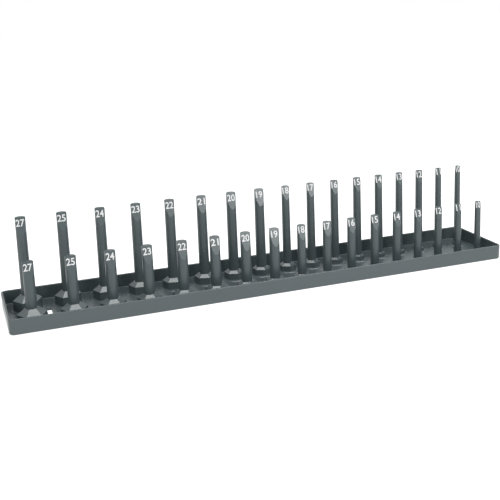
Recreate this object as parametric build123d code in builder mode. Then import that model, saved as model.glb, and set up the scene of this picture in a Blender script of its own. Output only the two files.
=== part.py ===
from build123d import *
import os
from math import radians, tan

os.makedirs("parts", exist_ok=True)

# A bench holder for two rows of metric sockets. A shallow tray carries a front row of
# short posts for regular sockets and a rear row of tall posts for deep ones. Each post
# stands on a hexagonal seat that fills the socket's own hexagon, and its peg goes down
# through the seat and the tray's floor.
#
# Frame: the origin is the middle of the flat underside, +X runs along the rows towards
# the small sizes, -Y is the front and +Z is up. All sizes are in millimetres.

# Sockets that the holder is laid out for: hexagon size, and the socket's outside diameter
socket_body = {
    27: 37.2, 25: 35.0, 24: 33.1, 23: 31.9, 22: 30.7, 21: 29.3, 20: 27.7, 19: 26.6, 18: 25.2,
    17: 24.2, 16: 23.7, 15: 22.6, 14: 21.6, 13: 21.0, 12: 20.7, 11: 20.4, 10: 21.0,
}
sizes = list(socket_body)

# Layout of the rows
tray_length = 569.7
left_gap = 7.1  # from the largest sockets to the tray's left end
right_gap = 8.3  # from the smallest sockets to the tray's right end
front_gap = 4.5  # from the widest socket to the tray's front
back_gap = 9.0  # from the widest socket to the tray's back
row_spacing = 44.5

# Tray
rim_height = 16.8
wall = 2.4
floor = 2.0
wall_draft = 2.0  # degrees that the walls lean outwards
corner_radius = 6.0
heel_radius = 1.8  # round where the walls meet the underside
rim_radius = 1.0
inner_radius = 0.6  # round where the walls meet the floor inside

# Round pads that a socket's rim lands on
pad_height = 0.8
pad_margin = 0.9  # how far a pad reaches past its socket
pad_slope = 42.0  # degrees up from level at a pad's edge

# Mounting slots, one at each end of the tray
slot_width = 5.0
slot_length = 26.0
slot_corner = 0.8
left_slot_shift = 1.0  # from midway between the last two seats towards the tray's end
right_slot_shift = 3.0

# Hexagonal seats
hex_play = 0.5  # a seat is this much smaller than its socket's hexagon
largest_seat_height = 10.2
seat_height_step = 0.47  # a seat is this much lower for each millimetre of hexagon
crown_slope = 39.0  # degrees up from level on the crown's six faces
crown_ledge = 0.3  # flat left around the post's foot
seat_edge_radius = 0.5
first_seat_turn = 3.2  # degrees that the largest seats are turned about their axes
seat_turn_rate = 0.1065  # degrees that the turn drops for each millimetre along the row

# Posts, as stout at the foot as the socket's square drive or its bore lets them be
foot_diameter = {
    27: 11.8, 25: 11.8, 24: 11.8, 23: 11.8, 22: 11.8, 21: 11.8, 20: 11.8, 19: 11.8, 18: 10.0,
    17: 10.0, 16: 10.0, 15: 10.0, 14: 10.0, 13: 9.3, 12: 9.3, 11: 8.3, 10: 7.7,
}
tall_top = 102.5
short_top = 67.3
post_draft = 0.3  # degrees
facet_angle = 16.5  # degrees that the number's face leans back from upright
top_radius = 0.6
peg_shoulder = 1.6  # the peg's radius is this much less than the foot's
peg_play = 0.1
peg_recess = 0.3  # from the peg's end up to the underside

# Working values
pad_top = floor + pad_height
widest = max(socket_body.values())
tray_width = front_gap + widest + row_spacing + back_gap
front_row = -tray_width / 2 + front_gap + widest / 2
row_of = {"short": front_row, "tall": front_row + row_spacing}
middle_of_rows = front_row + row_spacing / 2
top_of = {"short": short_top, "tall": tall_top}
# Free floor between the sockets of one row
land = (tray_length - left_gap - right_gap - sum(socket_body.values())) / (len(sizes) - 1)


def post_positions():
    """X of each size: bodies side by side from the left end, with the land between them."""
    positions = {}
    edge = -tray_length / 2 + left_gap
    for size in sizes:
        positions[size] = edge + socket_body[size] / 2
        edge += socket_body[size] + land
    return positions


def peg_radius(size):
    return foot_diameter[size] / 2 - peg_shoulder


def seat_flat(size):
    """From the seat's axis to one of its six sides."""
    return (size - hex_play) / 2


def ledge_flat(size):
    return foot_diameter[size] / 2 + crown_ledge


def crown_base(size):
    return pad_top + largest_seat_height - seat_height_step * (max(sizes) - size)


def crown_top(size):
    return crown_base(size) + (seat_flat(size) - ledge_flat(size)) * tan(radians(crown_slope))


x_of = post_positions()


def seat_turn(size):
    """Each seat is turned a little further about its axis than the one before it."""
    return first_seat_turn - seat_turn_rate * (x_of[size] - x_of[sizes[0]])


def spots(size):
    return [(x_of[size], y) for y in row_of.values()]


def lean(height):
    """How far a drafted wall has moved in at this height, from its widest at the rim."""
    return (rim_height - height) * tan(radians(wall_draft))


# Tray pan: one moulded shell with round pads, peg holes and two mounting slots
with BuildPart() as tray_pan:
    for height in (0, rim_height):
        inset = lean(height)
        with BuildSketch(Plane.XY.offset(height)):
            RectangleRounded(
                tray_length - 2 * inset, tray_width - 2 * inset, corner_radius - inset
            )
    loft()
    for height in (floor, rim_height):
        inset = wall + lean(height)
        with BuildSketch(Plane.XY.offset(height)):
            RectangleRounded(
                tray_length - 2 * inset, tray_width - 2 * inset, corner_radius - inset
            )
    loft(mode=Mode.SUBTRACT)
    fillet(tray_pan.edges().group_by(Axis.Z)[-1], radius=rim_radius)
    fillet(tray_pan.edges().group_by(Axis.Z)[0], radius=heel_radius)
    fillet(
        tray_pan.edges().filter_by_position(Axis.Z, floor - 0.01, floor + 0.01),
        radius=inner_radius,
    )
    with BuildSketch(Plane.XY.offset(floor)):
        for size in sizes:
            with Locations(*spots(size)):
                Circle(socket_body[size] / 2 + pad_margin)
    extrude(amount=pad_height, taper=90 - pad_slope)
    with BuildSketch(Plane.XY):
        for size in sizes:
            with Locations(*spots(size)):
                Circle(peg_radius(size) + peg_play)
        slot_places = [
            ((x_of[sizes[0]] + x_of[sizes[1]]) / 2 - left_slot_shift, middle_of_rows),
            ((x_of[sizes[-1]] + x_of[sizes[-2]]) / 2 + right_slot_shift, middle_of_rows),
        ]
        with Locations(*slot_places):
            RectangleRounded(slot_width, slot_length, slot_corner)
    extrude(amount=pad_top, mode=Mode.SUBTRACT)
tray_pan.part.label = "tray_pan"
export_step(tray_pan.part, "parts/tray_pan.step")


def make_seats(size):
    """The size's two seats, one in each row: a hexagonal block, a crown, and a peg bore."""
    base, top, turn = crown_base(size), crown_top(size), seat_turn(size)
    with BuildPart() as seats:
        with BuildSketch(Plane.XY.offset(pad_top)):
            with Locations(*spots(size)):
                RegularPolygon(seat_flat(size), 6, major_radius=False, rotation=turn)
        extrude(amount=base - pad_top)
        for spot in spots(size):
            for height, flat in ((base, seat_flat(size)), (top, ledge_flat(size))):
                with BuildSketch(Plane.XY.offset(height)):
                    with Locations(spot):
                        RegularPolygon(flat, 6, major_radius=False, rotation=turn)
            loft(ruled=True)
        bottom_edges = seats.edges().group_by(Axis.Z)[0]
        fillet(seats.edges() - bottom_edges, radius=seat_edge_radius)
        with BuildSketch(Plane.XY.offset(pad_top)):
            with Locations(*spots(size)):
                Circle(peg_radius(size) + peg_play)
        extrude(amount=top - pad_top, mode=Mode.SUBTRACT)
    return seats.part


def make_post(size, row):
    """A drafted round post with a peg below and a slanted face for its number above."""
    foot = crown_top(size)
    top = top_of[row]
    x, y = x_of[size], row_of[row]
    with BuildPart() as post:
        with BuildSketch(Plane.XY.offset(foot)):
            with Locations((x, y)):
                Circle(foot_diameter[size] / 2)
        extrude(amount=top - foot, taper=post_draft)
        fillet(post.edges().group_by(Axis.Z)[-1], radius=top_radius)
        with BuildSketch(Plane.XY.offset(peg_recess)):
            with Locations((x, y)):
                Circle(peg_radius(size))
        extrude(amount=foot - peg_recess)
        reach = foot_diameter[size]
        drop = reach / tan(radians(facet_angle))
        with BuildSketch(Plane.YZ.offset(x)):
            with BuildLine():
                Polyline((y, top), (y - reach, top - drop), (y - reach, top), close=True)
            make_face()
        extrude(amount=reach, both=True, mode=Mode.SUBTRACT)
    return post.part


for size in sizes:
    seats = make_seats(size)
    seats.label = f"seats_{size}"
    export_step(seats, f"parts/seats_{size}.step")
    for row in row_of:
        post = make_post(size, row)
        post.label = f"{row}_post_{size}"
        export_step(post, f"parts/{row}_post_{size}.step")

print(f"tray {tray_length:.1f} x {tray_width:.1f} x {rim_height:.1f} mm, posts to {tall_top:.1f} mm")
print(f"land between sockets {land:.2f} mm, rows at y", [round(y, 2) for y in row_of.values()])
print("pitches", [round(x_of[b] - x_of[a], 1) for a, b in zip(sizes, sizes[1:])])
print("turns", [round(seat_turn(size), 1) for size in sizes])
print("slots at", [round(place[0], 1) for place in slot_places])
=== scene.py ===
# %% [markdown]
# # A socket holder
# The object is a bench tray for two rows of metric sockets: a shallow pan with a short
# post and a tall post for each size, every post standing on a six-sided seat. The solids
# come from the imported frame, already in place and in metres. This lesson gives them
# their moulded plastic, prints the white sizes on the posts, and lights the whole thing
# as a catalogue would.

from math import cos, radians, sin

import bpy
import numpy as np
from mathutils import Matrix, Vector


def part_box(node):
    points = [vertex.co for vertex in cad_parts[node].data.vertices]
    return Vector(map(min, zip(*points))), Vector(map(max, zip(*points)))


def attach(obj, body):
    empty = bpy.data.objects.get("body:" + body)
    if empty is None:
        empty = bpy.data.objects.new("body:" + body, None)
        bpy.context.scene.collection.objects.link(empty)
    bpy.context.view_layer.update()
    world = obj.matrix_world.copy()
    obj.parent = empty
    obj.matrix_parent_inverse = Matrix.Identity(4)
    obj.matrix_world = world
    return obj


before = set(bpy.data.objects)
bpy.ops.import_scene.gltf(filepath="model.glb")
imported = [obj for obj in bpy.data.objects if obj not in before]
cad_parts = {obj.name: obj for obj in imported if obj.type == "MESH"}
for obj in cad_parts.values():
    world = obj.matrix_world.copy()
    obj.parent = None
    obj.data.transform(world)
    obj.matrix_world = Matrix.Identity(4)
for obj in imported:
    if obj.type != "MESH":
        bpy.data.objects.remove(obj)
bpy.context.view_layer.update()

# %% [markdown]
# ## The camera
# The picture is taken from the left, a little above the rim, so that both rows overlap
# and run away to the right. The place, turn and lens were worked out beforehand from
# the tops of the posts. Three unit vectors say how the camera sits: where it looks,
# what is right of it and what is above it. They become the columns of its matrix.

# %% Camera
scene = bpy.context.scene
eye = Vector((-0.32644, -0.89873, 0.32919))
yaw, dip, roll = radians(-19.321), radians(12.169), radians(-2.133)
sensor_width = 36.0  # mm
focal_pixels = 884.1  # focal length in the picture's own pixels
picture_pixels = 500
ahead = Vector((-sin(yaw) * cos(dip), cos(yaw) * cos(dip), -sin(dip)))
level_right = Vector((cos(yaw), sin(yaw), 0.0))
level_up = level_right.cross(ahead)
right = cos(roll) * level_right + sin(roll) * level_up
up = -sin(roll) * level_right + cos(roll) * level_up

camera_data = bpy.data.cameras.new("camera")
camera_data.sensor_width = sensor_width
camera_data.lens = focal_pixels * sensor_width / picture_pixels
camera_data.shift_x = -0.0004
camera_data.shift_y = -0.149
camera_data.clip_start = 0.01
camera = bpy.data.objects.new("camera", camera_data)
scene.collection.objects.link(camera)
turn = Matrix((right, up, -ahead)).transposed().to_4x4()
camera.matrix_world = Matrix.Translation(eye) @ turn
scene.camera = camera
print("lens:", round(camera_data.lens, 1), "mm, eye height:", round(eye.z * 1000), "mm")

# %% [markdown]
# ## The studio
# A white sweep would do in a real studio. Here a large floor and a white world stand in
# for it. Both shine at full white only for what the camera, a reflection or a
# transmitted ray sees, so the light on the object stays at a plain level, and the
# floor's own diffuse part still takes the object's shadow.
#
# Every material below is a tree of nodes, so three helpers come first: one empties a
# tree, one adds a node with its settings, and one tells which rays see a thing directly.

# %% Helpers for nodes
def fresh_tree(owner):
    """Switches an owner to nodes, empties its tree and returns it."""
    owner.use_nodes = True
    owner.node_tree.nodes.clear()
    return owner.node_tree


def add_node(tree, kind, **settings):
    """Makes a node: plain settings go on the node, and a dict called inputs on its sockets."""
    node = tree.nodes.new(kind)
    for name, value in settings.pop("inputs", {}).items():
        node.inputs[name].default_value = value
    for name, value in settings.items():
        setattr(node, name, value)
    return node


def seen_directly(tree):
    """1 for camera, glossy and transmission rays and 0 for the rest: the largest of the three."""
    path = add_node(tree, "ShaderNodeLightPath")
    first = add_node(tree, "ShaderNodeMath", operation="MAXIMUM")
    second = add_node(tree, "ShaderNodeMath", operation="MAXIMUM")
    tree.links.new(path.outputs["Is Camera Ray"], first.inputs[0])
    tree.links.new(path.outputs["Is Glossy Ray"], first.inputs[1])
    tree.links.new(first.outputs[0], second.inputs[0])
    tree.links.new(path.outputs["Is Transmission Ray"], second.inputs[1])
    return second.outputs[0]


print("helpers ready: fresh_tree, add_node, seen_directly")

# %% [markdown]
# ## The white room
# The world is a mix of two backgrounds: a soft white that lights the object, and a full
# white that is seen. The factor between them is the helper's answer for each ray.

# %% World
sky = bpy.data.worlds.new("white room")
scene.world = sky
tree = fresh_tree(sky)
soft = add_node(tree, "ShaderNodeBackground", inputs={"Color": (1, 1, 1, 1), "Strength": 0.38})
shown = add_node(tree, "ShaderNodeBackground", inputs={"Color": (1, 1, 1, 1), "Strength": 1.0})
either = add_node(tree, "ShaderNodeMixShader")
out = add_node(tree, "ShaderNodeOutputWorld")
tree.links.new(seen_directly(tree), either.inputs[0])
tree.links.new(soft.outputs[0], either.inputs[1])
tree.links.new(shown.outputs[0], either.inputs[2])
tree.links.new(either.outputs[0], out.inputs[0])
scene.view_settings.view_transform = "Standard"
print("world strengths:", [round(n.inputs["Strength"].default_value, 2) for n in (soft, shown)])

# %% [markdown]
# ## The floor
# The floor lies 0.2 mm under the object, so the two never share a plane.

# %% Floor
half = 6.0
floor_z = -0.0002
floor_glow = 0.75  # brings the lit paper to full white
floor_mesh = bpy.data.meshes.new("studio_floor")
floor_mesh.from_pydata(
    [(-half, -half, floor_z), (half, -half, floor_z), (half, half, floor_z), (-half, half, floor_z)],
    [], [(0, 1, 2, 3)])
studio_floor = bpy.data.objects.new("studio_floor", floor_mesh)
scene.collection.objects.link(studio_floor)
paper = bpy.data.materials.new("white paper")
tree = fresh_tree(paper)
matt = add_node(tree, "ShaderNodeBsdfDiffuse", inputs={"Color": (0.85, 0.85, 0.85, 1)})
glow = add_node(tree, "ShaderNodeEmission", inputs={"Color": (1, 1, 1, 1)})
both = add_node(tree, "ShaderNodeAddShader")
level = add_node(tree, "ShaderNodeMath", operation="MULTIPLY")
level.inputs[1].default_value = floor_glow
out = add_node(tree, "ShaderNodeOutputMaterial")
tree.links.new(seen_directly(tree), level.inputs[0])
tree.links.new(level.outputs[0], glow.inputs["Strength"])
tree.links.new(matt.outputs[0], both.inputs[0])
tree.links.new(glow.outputs[0], both.inputs[1])
tree.links.new(both.outputs[0], out.inputs[0])
floor_mesh.materials.append(paper)
print("floor:", 2 * half, "m square")

# %% [markdown]
# ## The lamps
# One broad lamp hangs over the object, so the sloping faces of the seats shine and the
# upright walls stay quiet. A weaker one from the front left gives each round post its
# soft light side. A small one at the front right is mirrored by the slanted number
# faces, which makes them stand out from the posts.

# %% Lamps
def soft_box(name, place, aim, size, watts):
    """A rectangular lamp at a place, turned to face the aim point."""
    data = bpy.data.lights.new(name, "AREA")
    data.shape, data.size, data.size_y = "RECTANGLE", size[0], size[1]
    data.energy = watts
    lamp = bpy.data.objects.new(name, data)
    lamp.location = place
    lamp.rotation_euler = (Vector(aim) - Vector(place)).to_track_quat("-Z", "Y").to_euler()
    scene.collection.objects.link(lamp)


soft_box("overhead", (0.43, -0.20, 1.3), (0.43, -0.15, 0.0), (1.5, 0.42), 11.5)
soft_box("front_left", (-1.3, -1.3, 0.8), (0.0, 0.0, 0.05), (0.8, 0.8), 6.5)
soft_box("front_right", (0.70, -1.7, 0.68), (0.0, 0.0, 0.09), (0.5, 0.35), 7.5)
print("lamps in watts:", {lamp.name: lamp.energy for lamp in bpy.data.lights})

# %% [markdown]
# ## Moulded plastic
# The holder is injection-moulded in a slate grey plastic with a faint green cast. Up
# close such a surface isn't one flat colour: the pigment drifts a little, the texture
# of the steel mould breaks up the gloss, and the sheen changes from place to place.
# Two noise patterns on the object's own coordinates give that: slow clouds for colour
# and sheen, and fine pits for the grain.

# %% Plastic
def moulded_plastic(name, colour, roughness, gloss, drift=0.06, grain=0.02):
    """Plastic whose colour varies by drift to either side, with a bump as strong as grain."""
    material = bpy.data.materials.new(name)
    tree = fresh_tree(material)
    place = add_node(tree, "ShaderNodeTexCoord")
    clouds = add_node(tree, "ShaderNodeTexNoise", inputs={"Scale": 18.0, "Detail": 3.0})
    pits = add_node(tree, "ShaderNodeTexNoise", inputs={"Scale": 1400.0, "Detail": 2.0})
    darker = [c * (1 - drift) for c in colour] + [1]
    lighter = [c * (1 + drift) for c in colour] + [1]
    tint = add_node(tree, "ShaderNodeMix", data_type="RGBA")
    tint.inputs["A"].default_value = darker
    tint.inputs["B"].default_value = lighter
    sheen = add_node(tree, "ShaderNodeMapRange", inputs={
        "From Min": 0.3, "From Max": 0.7, "To Min": roughness - 0.04, "To Max": roughness + 0.05})
    bump = add_node(tree, "ShaderNodeBump", inputs={"Strength": grain, "Distance": 0.0002})
    skin = add_node(tree, "ShaderNodeBsdfPrincipled", inputs={"IOR": 1.5, "Specular IOR Level": gloss})
    out = add_node(tree, "ShaderNodeOutputMaterial")
    tree.links.new(place.outputs["Object"], clouds.inputs["Vector"])
    tree.links.new(place.outputs["Object"], pits.inputs["Vector"])
    tree.links.new(clouds.outputs["Fac"], tint.inputs["Factor"])
    tree.links.new(clouds.outputs["Fac"], sheen.inputs["Value"])
    tree.links.new(pits.outputs["Fac"], bump.inputs["Height"])
    tree.links.new(tint.outputs["Result"], skin.inputs["Base Color"])
    tree.links.new(sheen.outputs["Result"], skin.inputs["Roughness"])
    tree.links.new(bump.outputs["Normal"], skin.inputs["Normal"])
    tree.links.new(skin.outputs[0], out.inputs[0])
    return material


print("moulded_plastic makes the material for one kind of piece")

# %% [markdown]
# ## Dressing the pieces
# All the pieces share one slate colour. The seats are the glossiest, since their steep
# faces show a sharp shine, and the posts and the pan are more satin.

# %% Dress
slate = (0.081, 0.105, 0.111)
pan_plastic = moulded_plastic("slate pan plastic", slate, 0.30, 0.50)
seat_plastic = moulded_plastic("slate seat plastic", slate, 0.22, 0.60)
post_plastic = moulded_plastic("slate post plastic", slate, 0.30, 0.40)
for name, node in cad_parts.items():
    if name == "tray_pan":
        finish = pan_plastic
    elif name.startswith("seats"):
        finish = seat_plastic
    else:
        finish = post_plastic
    node.data.materials.clear()
    node.data.materials.append(finish)
print("dressed", len(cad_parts), "nodes")

# %% [markdown]
# ## White ink
# Each post has its socket's size printed in white on the slanted face at its top. The
# ink isn't one flat white either: fine specks change its tone a little.

# %% Ink
ink = bpy.data.materials.new("white print")
tree = fresh_tree(ink)
place = add_node(tree, "ShaderNodeTexCoord")
specks = add_node(tree, "ShaderNodeTexNoise", inputs={"Scale": 900.0, "Detail": 2.0})
tone = add_node(tree, "ShaderNodeMix", data_type="RGBA")
tone.inputs["A"].default_value = (0.76, 0.77, 0.78, 1)
tone.inputs["B"].default_value = (0.84, 0.84, 0.84, 1)
skin = add_node(tree, "ShaderNodeBsdfPrincipled", inputs={"Roughness": 0.5})
out = add_node(tree, "ShaderNodeOutputMaterial")
tree.links.new(place.outputs["Object"], specks.inputs["Vector"])
tree.links.new(specks.outputs["Fac"], tone.inputs["Factor"])
tree.links.new(tone.outputs["Result"], skin.inputs["Base Color"])
tree.links.new(skin.outputs[0], out.inputs[0])
print("ink:", ink.name)

# %% [markdown]
# ## A flat number
# Blender's text curve becomes a mesh, whose points are read as one array. They are
# scaled so that the number's width and height are each 1 and its middle is the origin,
# which makes it easy to give every number the same height later.

# %% Flat number
def flat_number(text):
    """A number's mesh and its points, centred, with its width and height each 1."""
    curve = bpy.data.curves.new("number", "FONT")
    curve.body = text
    curve.offset = 0.018  # makes the strokes a little bolder
    curve.extrude = 0.5
    curve.resolution_u = 4
    holder = bpy.data.objects.new("number", curve)
    mesh = bpy.data.meshes.new_from_object(holder)
    points = np.empty(len(mesh.vertices) * 3)
    mesh.vertices.foreach_get("co", points)
    points = points.reshape(-1, 3)
    low, high = points.min(axis=0), points.max(axis=0)
    points[:, :2] = (points[:, :2] - (low + high)[:2] / 2) / (high - low)[:2]
    bpy.data.objects.remove(holder)
    bpy.data.curves.remove(curve)
    return mesh, points


print("flat_number turns a text into a mesh and its points")

# %% [markdown]
# ## Printing the numbers
# The face leans back from upright, and it starts on the post's axis at the top. A
# point's place across the number goes along X, its place up the number goes up the
# leaning face, and its depth goes out of the face. Whole arrays carry all points at once.

# %% Numbers
facet_lean = radians(16.5)
ink_height = 0.00012
number_height = 0.0075
number_width = 0.74  # of the post's diameter
narrow_width = 0.0074  # the most for a number that starts with a 1
number_centre = 0.30  # of the face's height, down from the top
number_shift = -0.0004  # to the left of the post's middle


def print_number(row, size):
    """Prints the size on a post's slanted face, whose upward line is (0, sin, cos) of its lean."""
    low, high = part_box(f"{row}_post_{size}")
    mesh, points = flat_number(str(size))
    centre_x = (low.x + high.x) / 2
    axis_y = (low.y + high.y) / 2
    radius = (high.x - low.x) / 2
    face_height = radius / sin(facet_lean)
    width = number_width * 2 * radius
    if size < 20:  # these all start with a 1
        width = min(width, narrow_width)
    across = points[:, 0] * width
    along = points[:, 1] * number_height - number_centre * face_height
    proud = (points[:, 2] + 0.5) * ink_height
    placed = np.column_stack([
        centre_x + number_shift + across,
        axis_y + along * sin(facet_lean) - proud * cos(facet_lean),
        high.z + along * cos(facet_lean) + proud * sin(facet_lean)])
    mesh.vertices.foreach_set("co", placed.ravel())
    mesh.update()
    mesh.materials.clear()
    mesh.materials.append(ink)
    number = bpy.data.objects.new(f"{row}_number_{size}", mesh)
    scene.collection.objects.link(number)
    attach(number, "root")


posts = [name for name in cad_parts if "post" in name]
sizes = sorted({int(name.rsplit("_", 1)[1]) for name in posts}, reverse=True)
for row in ("tall", "short"):
    for size in sizes:
        print_number(row, size)
print("numbers:", 2 * len(sizes))
